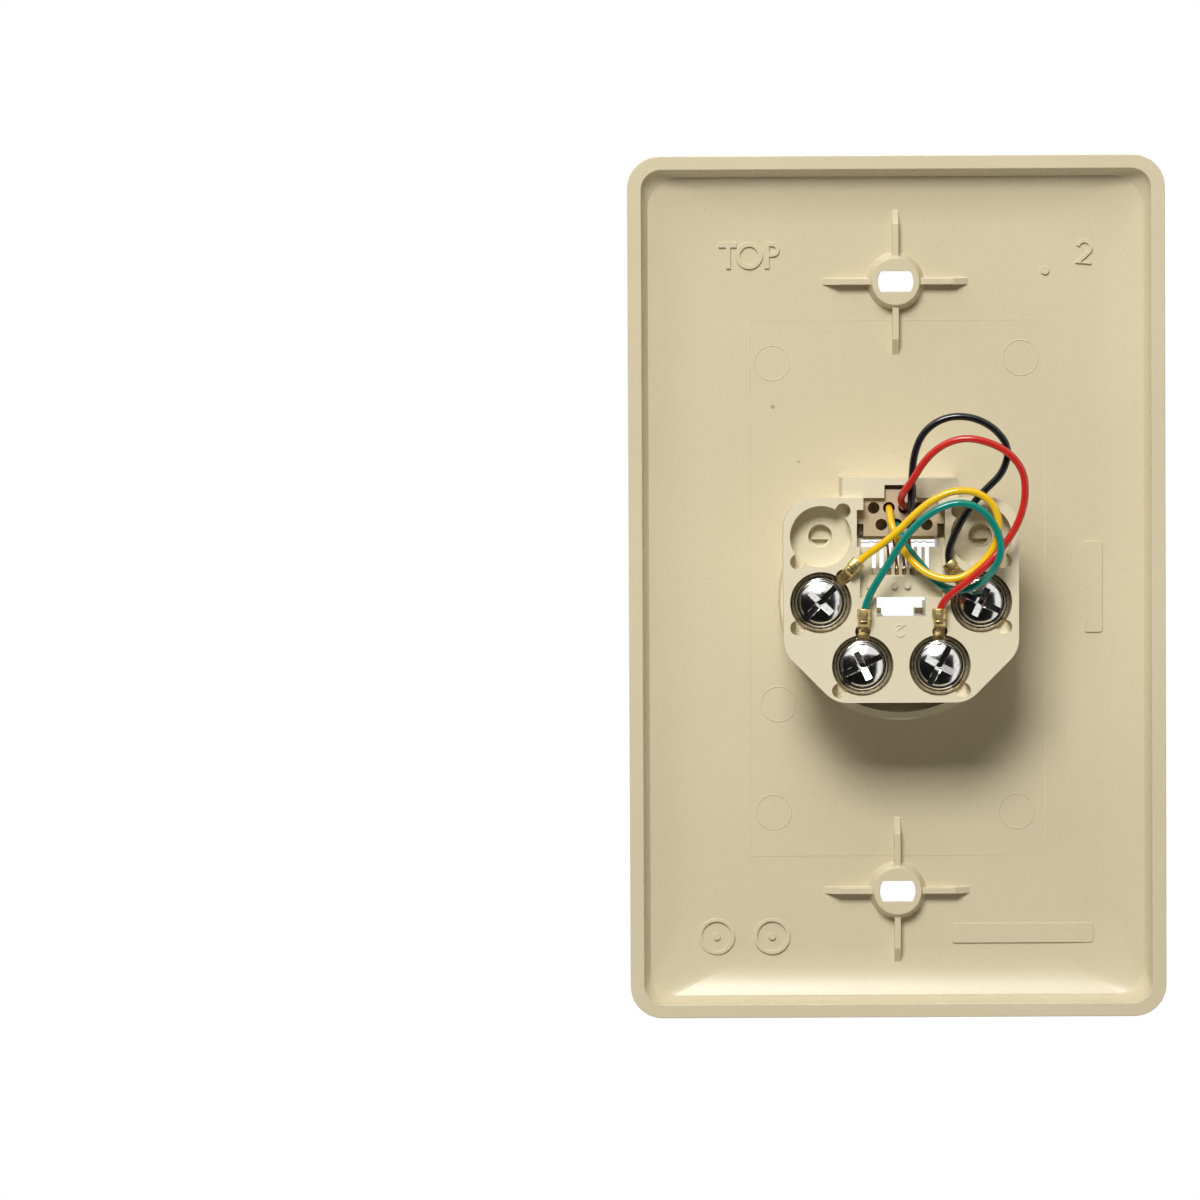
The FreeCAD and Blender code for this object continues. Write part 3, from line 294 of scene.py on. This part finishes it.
def metal(name, light, dark, rough, stain=None, grain_scale=2.0):
    """Plated or drawn metal: tone drift, fine scratches and, on brass, a little stain."""
    item, tree, shader = new_material(name)
    vector = coordinates(tree)
    tone = noise(tree, vector, grain_scale, 4.0)
    stops = [(0.3, dark), (0.62, light)]
    if stain:
        stops = [(0.30, stain), (0.44, dark), (0.64, light)]
    tree.links.new(ramp(tree, tone, stops), shader.inputs["Base Color"])
    fine = noise(tree, vector, 9.0, 3.0)
    roughen(tree, fine, shader, rough * 0.7, rough * 1.4)
    bump(tree, fine, shader, 0.10, 0.00002)
    shader.inputs["Metallic"].default_value = 1.0
    return item


def insulation(name, light, dark):
    """Extruded lead insulation: even colour with slight streaks."""
    item, tree, shader = new_material(name)
    vector = coordinates(tree)
    tone = noise(tree, vector, 0.5, 3.0)
    tree.links.new(ramp(tree, tone, [(0.3, dark), (0.7, light)]), shader.inputs["Base Color"])
    fine = noise(tree, vector, 5.0, 2.0)
    roughen(tree, fine, shader, 0.10, 0.17)
    bump(tree, fine, shader, 0.06, 0.00003)
    return item


# Specks on the plate: place, size and strength.
DIRT = [((16.8, FIELD_Y, 24.6), 0.35, 0.75), ((13.3, FIELD_Y, 17.1), 0.30, 0.55)]
IVORY = plastic("plate_ivory", (0.665, 0.585, 0.400), (0.640, 0.560, 0.380), 0.30, DIRT)
HOUSING = plastic("housing_ivory", (0.750, 0.680, 0.490), (0.728, 0.658, 0.470), 0.36)
CARRIER = plastic("carrier_ivory", (0.560, 0.445, 0.285), (0.520, 0.412, 0.262), 0.40)
NICKEL = metal("nickel_plate", (0.83, 0.81, 0.78), (0.70, 0.68, 0.65), 0.13)
WASHER = metal("washer_plate", (0.62, 0.56, 0.47), (0.34, 0.29, 0.22), 0.22)
BRASS = metal("lug_brass", (0.72, 0.56, 0.25), (0.52, 0.39, 0.16), 0.36,
              stain=(0.22, 0.15, 0.07), grain_scale=1.4)
CONTACT = metal("contact_gold", (0.80, 0.52, 0.28), (0.55, 0.32, 0.15), 0.25)
# Light and dark tone of each lead.
LEAD_COLOURS = {
    "yellow": ((0.90, 0.56, 0.012), (0.84, 0.50, 0.008)),
    "green": ((0.002, 0.235, 0.180), (0.001, 0.205, 0.155)),
    "red": ((0.60, 0.024, 0.016), (0.53, 0.017, 0.012)),
    "black": ((0.012, 0.012, 0.012), (0.006, 0.006, 0.006)),
}


# ---------------------------------------------------------------- finish of a piece


def paint(item, surface):
    item.data.materials.clear()
    item.data.materials.append(surface)


def shade(item, bevel=0.0, angle=30.0, weld=False):
    """Smooth shading, with edges sharper than the angle rounded by a bevel."""
    mesh = item.data
    if "custom_normal" in mesh.attributes:
        mesh.attributes.remove(mesh.attributes["custom_normal"])
    mesh.polygons.foreach_set("use_smooth", [True] * len(mesh.polygons))
    if weld:
        joined = item.modifiers.new("weld", "WELD")
        joined.merge_threshold = 1e-6
    if bevel:
        edge = item.modifiers.new("edge", "BEVEL")
        edge.width = bevel * MM
        edge.segments = 2
        edge.limit_method = "ANGLE"
        edge.angle_limit = math.radians(angle)
        edge.harden_normals = True
        edge.use_clamp_overlap = True
    smooth = item.modifiers.new("facets", "WEIGHTED_NORMAL")
    smooth.keep_sharp = True


def dress_nodes():
    """Materials and rounded edges for the CAD nodes that are seen as they are."""
    for name, surface, bevel in [("wall_plate", IVORY, 0.18), ("jack_housing", HOUSING, 0.12),
                                 ("contact_carrier", CARRIER, 0.10)]:
        paint(nodes[name], surface)
        shade(nodes[name], bevel, weld=True)
    for colour in TERMINALS:
        paint(nodes["contact_wire_" + colour], CONTACT)
        shade(nodes["contact_wire_" + colour], weld=True)


# ---------------------------------------------------------------- meshes


def mesh_object(name, vertices, faces):
    """An object with its faces turned outwards."""
    mesh = bpy.data.meshes.new(name)
    mesh.from_pydata([point(*vertex) for vertex in vertices], [], faces)
    build = bmesh.new()
    build.from_mesh(mesh)
    bmesh.ops.recalc_face_normals(build, faces=build.faces)
    build.to_mesh(mesh)
    build.free()
    item = bpy.data.objects.new(name, mesh)
    scene.collection.objects.link(item)
    return item


def add_piece(name, vertices, faces, surface, bevel=0.0):
    """A new piece of the object."""
    item = mesh_object(name, vertices, faces)
    paint(item, surface)
    shade(item, bevel)
    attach(item, "root")
    return item


def rings_to_mesh(rings, loop=False):
    """Join rings of equal length into a skin: a loop, or with a flat face over each end."""
    count = len(rings[0])
    vertices = [corner for ring in rings for corner in ring]
    faces = []
    for level in range(len(rings) if loop else len(rings) - 1):
        low = level * count
        high = (level + 1) % len(rings) * count
        for step in range(count):
            following = (step + 1) % count
            faces.append((low + step, low + following, high + following, high + step))
    if not loop:
        faces.append(tuple(range(count)))
        faces.append(tuple(range((len(rings) - 1) * count, len(rings) * count)))
    return vertices, faces


def circle_points(radius, height, count):
    """A circle about the Y axis."""
    angles = [2.0 * math.pi * step / count for step in range(count)]
    return [(radius * math.cos(angle), height, radius * math.sin(angle)) for angle in angles]


def lathe(profile, loop=False, count=96):
    """Turn a profile of (radius, height) about the Y axis."""
    return rings_to_mesh([circle_points(radius, height, count) for radius, height in profile], loop)


def box_points(half_x, half_z, height):
    return [(-half_x, height, -half_z), (half_x, height, -half_z), (half_x, height, half_z),
            (-half_x, height, half_z)]


# ---------------------------------------------------------------- terminals and leads


def dome_profile():
    """The domed top of a screw head, from its foot to the middle."""
    profile = []
    for step in range(DOME_STEPS):
        share = step / DOME_STEPS
        radius = DOME_RADIUS * (1.0 - share) + AXIS_GAP * share
        drop = DOME_SPHERE - math.sqrt(DOME_SPHERE ** 2 - radius ** 2)
        profile.append((radius, DOME_TOP - drop))
    profile.append((AXIS_GAP, DOME_TOP))
    return profile


def recess(name, sizes, turn):
    """A tapered block to be cut out of a screw head."""
    top_x, top_z, bottom_x, bottom_z, top, bottom = sizes
    rings = [box_points(bottom_x, bottom_z, bottom), box_points(top_x, top_z, top)]
    item = mesh_object(name, *rings_to_mesh(rings))
    item.data.transform(Matrix.Rotation(math.radians(turn), 4, "Y"))
    return item


def screw_mesh():
    """The head and shank of a terminal screw, with its slot and cross cut out."""
    blank = mesh_object("screw_blank", *lathe(SCREW_PROFILE + dome_profile()))
    cutters = [recess("slot_cutter", DRIVE_SLOT, 0.0), recess("arm_cutter_0", DRIVE_ARM, 0.0),
               recess("arm_cutter_1", DRIVE_ARM, 90.0)]
    for cutter in cutters:
        boolean = blank.modifiers.new("cut", "BOOLEAN")
        boolean.operation = "DIFFERENCE"
        boolean.solver = "EXACT"
        boolean.object = cutter
    bpy.context.view_layer.update()
    evaluated = blank.evaluated_get(bpy.context.evaluated_depsgraph_get())
    result = bpy.data.meshes.new_from_object(evaluated)
    for item in [blank] + cutters:
        bpy.data.objects.remove(item)
    return result


def add_washers():
    for colour, terminal in TERMINALS.items():
        vertices, faces = lathe(WASHER_PROFILE, loop=True)
        placed = [(terminal.x + dx, SEAT_Y + dy, terminal.z + dz) for dx, dy, dz in vertices]
        item = add_piece("ring_washer_" + colour, placed, faces, WASHER)
        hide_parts("washer_" + colour)


def add_screws():
    head = screw_mesh()
    for colour, terminal in TERMINALS.items():
        mesh = head.copy()
        turn = Matrix.Rotation(math.radians(terminal.turn), 4, "Y")
        mesh.transform(Matrix.Translation(point(terminal.x, SEAT_Y, terminal.z)) @ turn)
        item = bpy.data.objects.new("screw_" + colour, mesh)
        scene.collection.objects.link(item)
        paint(item, NICKEL)
        shade(item, 0.05, angle=28.0)
        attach(item, "root")
        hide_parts("terminal_screw_" + colour)


def squared_ring(half_width, half_thickness, squareness, count=32):
    """A superellipse, as points of (across, through) the lug."""
    power = 2.0 / squareness
    ring = []
    for step in range(count):
        angle = 2.0 * math.pi * step / count
        across = math.copysign(abs(math.cos(angle)) ** power, math.cos(angle))
        through = math.copysign(abs(math.sin(angle)) ** power, math.sin(angle))
        ring.append((half_width * across, half_thickness * through))
    return ring


def add_lugs():
    for colour, terminal in TERMINALS.items():
        turn = Matrix.Rotation(math.radians(-terminal.side * terminal.lean), 3, "Y")
        centre = Vector((terminal.x, WELL_Y, terminal.z))
        stretch = (terminal.length - SLEEVE_FROM) / (SLEEVE_END - SLEEVE_FROM)
        rings = []
        for along, height, tilt, half_width, half_thickness, squareness in LUG_SECTIONS:
            if along > SLEEVE_FROM:
                along = SLEEVE_FROM + (along - SLEEVE_FROM) * stretch
            slope = math.radians(tilt)
            ring = []
            for across, through in squared_ring(half_width, half_thickness, squareness):
                corner = (across, height + through * math.cos(slope),
                          along - through * math.sin(slope))
                ring.append(tuple(centre + turn @ Vector(corner)))
            rings.append(ring)
        vertices, faces = rings_to_mesh(rings)
        first = len(vertices)
        ring_vertices, ring_faces = lathe(RING_PROFILE, loop=True, count=64)
        vertices += [tuple(centre + Vector(corner)) for corner in ring_vertices]
        faces += [tuple(first + index for index in face) for face in ring_faces]
        item = add_piece("lug_" + colour, vertices, faces, BRASS, bevel=0.04)
        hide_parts("ring_lug_" + colour)


def lead_route(colour):
    """Control points of a lead, from its hole in the carrier to its sleeve."""
    terminal = TERMINALS[colour]
    hole_x, hole_z = LEAD_HOLES[colour]
    lean = math.radians(terminal.lean)
    first, *free, last = ROUTES[colour]
    route = [(hole_x, CARRIER_Y - LEAD_ROOT, hole_z), (hole_x, CARRIER_Y + LEAD_RISE, hole_z)]
    route.append(first)
    route += [(x + LEAD_SHIFT, y, z) for x, y, z in free] + [last]
    for reach in (terminal.length + LEAD_LEAVE, terminal.length - LEAD_BITE):
        route.append((terminal.x - terminal.side * math.sin(lean) * reach, SLEEVE_Y,
                      terminal.z + math.cos(lean) * reach))
    return route


def add_leads():
    for colour in TERMINALS:
        route = lead_route(colour)
        data = bpy.data.curves.new("lead_line_" + colour, "CURVE")
        data.dimensions = "3D"
        data.resolution_u = 10
        data.bevel_depth = 0.5 * LEAD_DIAMETER * MM
        data.bevel_resolution = 7
        data.use_fill_caps = True
        spline = data.splines.new("NURBS")
        spline.points.add(len(route) - 1)
        for control, place in zip(spline.points, route):
            control.co = (*point(*place), 1.0)
        spline.order_u = 3
        spline.use_endpoint_u = True
        item = bpy.data.objects.new("lead_line_" + colour, data)
        scene.collection.objects.link(item)
        data.materials.append(insulation("insulation_" + colour, *LEAD_COLOURS[colour]))
        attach(item, "root")
        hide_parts("lead_" + colour)


# ---------------------------------------------------------------- raised marks and fine forms


def band(line, width, base, height, closed=False):
    """A raised stroke of even width along a line of (x, z) points, on a face at Y = base."""
    count = len(line)
    rings = []
    for index, (x, z) in enumerate(line):
        starts = index == 0 and not closed
        ends = index == count - 1 and not closed
        before = line[index] if starts else line[index - 1]
        after = line[index] if ends else line[(index + 1) % count]
        run = Vector((after[0] - before[0], after[1] - before[1])).normalized()
        widen = 1.0
        if not starts and not ends:
            arriving = Vector((x - before[0], z - before[1])).normalized()
            widen = 1.0 / max(0.5, arriving.dot(run))
        offset = Vector((-run.y, run.x)) * 0.5 * width * widen
        left = (x + offset.x, z + offset.y)
        right = (x - offset.x, z - offset.y)
        foot = base - SUNK
        top = base + height
        rings.append([(left[0], foot, left[1]), (right[0], foot, right[1]),
                      (right[0], top, right[1]), (left[0], top, left[1])])
    return rings_to_mesh(rings, closed)


def arc(x, z, radius, start, end, count):
    """Points of an arc as seen from behind, where +X is on the left; 0 degrees is at the right."""
    line = []
    for step in range(count + 1):
        angle = math.radians(start + (end - start) * step / count)
        line.append((x - radius * math.cos(angle), z + radius * math.sin(angle)))
    return line


def circle_line(x, z, radius, count=48):
    """Points of a whole circle, for a closed band."""
    return arc(x, z, radius, 0.0, 360.0 * (count - 1) / count, count - 1)


def figure_two(left, top, width, height, turned=False):
    """The stroke of a figure 2 that reads from behind; its corner (left, top) is on the +X side."""
    bowl = 0.5 * width
    line = arc(left - bowl, top - bowl, bowl, 165.0, -35.0, 12)
    line += [(left, top - height), (left - width, top - height)]
    if turned:
        line = [(2 * left - width - x, 2 * top - height - z) for x, z in line]
    return line


def rounded_outline(left, right, foot, top, corner, count):
    """A rectangle with round corners, as (x, z) points; +X is on the left."""
    outline = []
    centres = [(left - corner, top - corner), (right + corner, top - corner),
               (right + corner, foot + corner), (left - corner, foot + corner)]
    for quarter, (x, z) in enumerate(centres):
        for step in range(count + 1):
            angle = 0.5 * math.pi * (quarter + step / count)
            outline.append((x + corner * math.cos(angle), z + corner * math.sin(angle)))
    return outline


def raised_outline(outline, base, height):
    """A low prism over an outline of (x, z) points, on a face at Y = base."""
    levels = (base - SUNK, base + height)
    return rings_to_mesh([[(x, level, z) for x, z in outline] for level in levels])


def disc_mesh(x, z, radius, base, height):
    outline = [(x + dx, z + dz) for dx, _, dz in circle_points(radius, 0.0, 48)]
    return raised_outline(outline, base, height)


def add_mark(name, shape, bevel=MARK_BEVEL):
    """A mark in the plate's own plastic."""
    vertices, faces = shape
    add_piece(name, vertices, faces, IVORY, bevel)


def add_letters():
    """The word TOP and a figure 2 on the plate, and a figure 2 on the flange."""
    bar = LETTER_TOP - 0.37
    middle = LETTER_TOP - 0.5 * LETTER_STROKE
    radius = 1.85 - 0.5 * LETTER_STROKE
    bowl = [(17.6, middle), (16.75, middle)] + arc(16.75, LETTER_TOP - 1.03, 0.72, 75.0, -75.0, 8)
    bowl += [(16.75, LETTER_TOP - 1.75), (17.6, LETTER_TOP - 1.75)]
    # The bowl of the P is a little lower than the stem that it runs into.
    strokes = {
        "letter_t_bar": ([(24.14, bar), (21.65, bar)], 0.74, RELIEF, False),
        "letter_t_stem": ([(22.81, LETTER_TOP - 0.7), (22.81, LETTER_FOOT)], LETTER_STROKE,
                          RELIEF, False),
        "letter_o": (circle_line(19.96, 45.28, radius, 36), LETTER_STROKE, RELIEF, True),
        "letter_p_stem": ([(17.54, LETTER_TOP), (17.54, LETTER_FOOT)], 0.68, RELIEF, False),
        "letter_p_bowl": (bowl, 0.55, RELIEF - 0.01, False),
        "figure_plate": (figure_two(-24.95, 47.1, 1.8, 2.95), 0.44, RELIEF, False),
    }
    for name, (line, width, height, closed) in strokes.items():
        add_mark(name, band(line, width, FIELD_Y, height, closed))
    figure = figure_two(0.70, -4.62, 1.1, 1.5, turned=True)
    vertices, faces = band(figure, 0.28, FLANGE_Y, 0.12)
    add_piece("figure_flange", vertices, faces, HOUSING, bevel=0.03)


def add_plain_marks():
    """Round marks, a dot, blank pads, ejector rings and a witness line on the plate."""
    for number, (x, z) in enumerate(ROUND_MARKS):
        ring = band(circle_line(x, z, ROUND_RADIUS), ROUND_STROKE, FIELD_Y, RELIEF, True)
        add_mark("round_mark_%d" % number, ring)
        add_mark("round_mark_pip_%d" % number, disc_mesh(x, z, PIP_RADIUS, FIELD_Y, RELIEF))
    add_mark("gate_dot", disc_mesh(*GATE_DOT, DOT_RADIUS, FIELD_Y, RELIEF))
    for name, sides in BLANK_PADS.items():
        outline = rounded_outline(*sides, PAD_CORNER, 6)
        add_mark(name, raised_outline(outline, FIELD_Y, PAD_RELIEF))
    for number, (x, z) in enumerate(EJECTOR_MARKS):
        ring = band(circle_line(x, z, EJECTOR_RADIUS), 0.12, FIELD_Y, 0.05, True)
        add_mark("ejector_mark_%d" % number, ring, bevel=0.0)
    add_mark("witness_line", band(WITNESS_CORNERS, 0.16, FIELD_Y, 0.03, True), bevel=0.0)


def add_carrier_lip():
    """The thin lip at the front foot of the carrier, with a rest over each slot of the comb."""
    foot, top, rise = LIP_REST
    line = [(LIP_HALF, LIP_Z)]
    for index in range(SLOTS):
        x = (0.5 * (SLOTS - 1) - index) * SLOT_PITCH
        line += [(x + foot, LIP_Z), (x + top, LIP_Z + rise), (x - top, LIP_Z + rise),
                 (x - foot, LIP_Z)]
    line.append((-LIP_HALF, LIP_Z))
    vertices, faces = band(line, LIP_THICKNESS, LIP_Y, LIP_HEIGHT)
    add_piece("carrier_lip", vertices, faces, CARRIER)


def add_pilot_floors():
    """The floors of the two open pilot holes, under their shelves."""
    for side, (x, z) in PILOT_CENTRES.items():
        vertices, faces = disc_mesh(x, z, PILOT_RADIUS, PILOT_Y, PILOT_FLOOR)
        add_piece("pilot_floor_" + side, vertices, faces, HOUSING)


def cove_ring(inset, height):
    """The plate's outline drawn in by an inset, at a height over the field."""
    half_x, half_z = (half - inset for half in PLATE_HALF)
    corner = COVE_CORNER + COVE_OPENING * (inset - COVE_OUTER)
    outline = rounded_outline(half_x, -half_x, -half_z, half_z, corner, 10)
    return [(x, FIELD_Y + height, z) for x, z in outline]


def add_cove():
    """The shallow sweep of the plate's back from its field up to the walls."""
    rings = [cove_ring(COVE_OUTER, COVE_FOOT)]
    for step in range(COVE_STEPS + 1):
        share = step / COVE_STEPS
        height = COVE_HEIGHT * (1.0 - share) ** COVE_POWER - COVE_DIVE
        rings.append(cove_ring(COVE_OUTER + COVE_REACH * share, height))
    rings.append(cove_ring(COVE_OUTER + COVE_REACH, COVE_FOOT))
    add_mark("back_cove", rings_to_mesh(rings, loop=True), bevel=0.0)


# ---------------------------------------------------------------- stage, light and camera


def add_light(name, place, width, height, power):
    data = bpy.data.lights.new(name, "AREA")
    data.shape = "RECTANGLE"
    data.size = width
    data.size_y = height
    data.energy = power
    item = bpy.data.objects.new(name, data)
    scene.collection.objects.link(item)
    item.location = place
    item.rotation_euler = (-Vector(place)).to_track_quat("-Z", "Y").to_euler()


def seen_directly(tree):
    """1 for rays of the camera and for rays that metal or glass sends on, 0 for the others."""
    rays = tree.nodes.new("ShaderNodeLightPath")
    seen = rays.outputs["Is Camera Ray"]
    for output in ("Is Glossy Ray", "Is Transmission Ray"):
        either = tree.nodes.new("ShaderNodeMath")
        either.operation = "MAXIMUM"
        tree.links.new(seen, either.inputs[0])
        tree.links.new(rays.outputs[output], either.inputs[1])
        seen = either.outputs[0]
    return seen


def add_world():
    """Plain white to the camera and to metal, dimmer as light."""
    world = bpy.data.worlds.new("studio")
    scene.world = world
    world.use_nodes = True
    tree = world.node_tree
    tint = tree.nodes.new("ShaderNodeMix")
    tint.data_type = "RGBA"
    tint.inputs["A"].default_value = (*FILL, 1.0)
    tint.inputs["B"].default_value = (1.0, 1.0, 1.0, 1.0)
    tree.links.new(seen_directly(tree), tint.inputs["Factor"])
    tree.links.new(tint.outputs["Result"], tree.nodes["Background"].inputs["Color"])


def add_sheet(name, corners, surface):
    """A flat sheet of the studio, which isn't part of the object."""
    mesh = bpy.data.meshes.new(name)
    mesh.from_pydata(corners, [], [(0, 1, 2, 3)])
    item = bpy.data.objects.new(name, mesh)
    scene.collection.objects.link(item)
    mesh.materials.append(surface)
    return item


def add_floor():
    """A pale floor, white to the camera and to metal."""
    surface, tree, shader = new_material("floor_white")
    shader.inputs["Base Color"].default_value = (0.75, 0.75, 0.75, 1.0)
    shader.inputs["Roughness"].default_value = 0.9
    glow = tree.nodes.new("ShaderNodeEmission")
    glow.inputs["Strength"].default_value = 1.0
    mix = tree.nodes.new("ShaderNodeMixShader")
    tree.links.new(seen_directly(tree), mix.inputs[0])
    tree.links.new(shader.outputs[0], mix.inputs[1])
    tree.links.new(glow.outputs[0], mix.inputs[2])
    tree.links.new(mix.outputs[0], tree.nodes["Material Output"].inputs["Surface"])
    signs = ((-1, -1), (1, -1), (1, 1), (-1, 1))
    corners = [(x * FLOOR_REACH, y * FLOOR_REACH, FLOOR_Z) for x, y in signs]
    add_sheet("floor", corners, surface)


def add_dark_card():
    """A dark card round the camera, which only reflections show."""
    surface, _, shader = new_material("card_black")
    shader.inputs["Base Color"].default_value = (0.01, 0.01, 0.01, 1.0)
    shader.inputs["Roughness"].default_value = 1.0
    shader.inputs["Specular IOR Level"].default_value = 0.0
    item = add_sheet("dark_card", CARD, surface)
    item.visible_camera = False
    item.visible_diffuse = False
    item.visible_transmission = False
    item.visible_shadow = False


def add_camera():
    data = bpy.data.cameras.new("camera")
    data.sensor_width = CAMERA_SENSOR
    data.lens = CAMERA_LENS
    data.clip_start = 0.01
    camera = bpy.data.objects.new("camera", data)
    scene.collection.objects.link(camera)
    scene.camera = camera
    aim = point(*CAMERA_AIM)
    elevation = math.radians(CAMERA_ELEVATION)
    away = Vector((0.0, math.cos(elevation), math.sin(elevation)))
    camera.location = aim + away * CAMERA_DISTANCE
    look = (aim - camera.location).to_track_quat("-Z", "Y").to_matrix()
    roll = Matrix.Rotation(math.radians(CAMERA_ROLL), 3, "Z")
    camera.rotation_euler = (look @ roll).to_euler()


dress_nodes()
add_washers()
add_screws()
add_lugs()
add_leads()
add_letters()
add_plain_marks()
add_carrier_lip()
add_pilot_floors()
add_cove()
add_world()
add_floor()
add_dark_card()
for name, (place, width, height, power) in LIGHTS.items():
    add_light(name, place, width, height, power)
add_camera()
scene.view_settings.view_transform = "Standard"
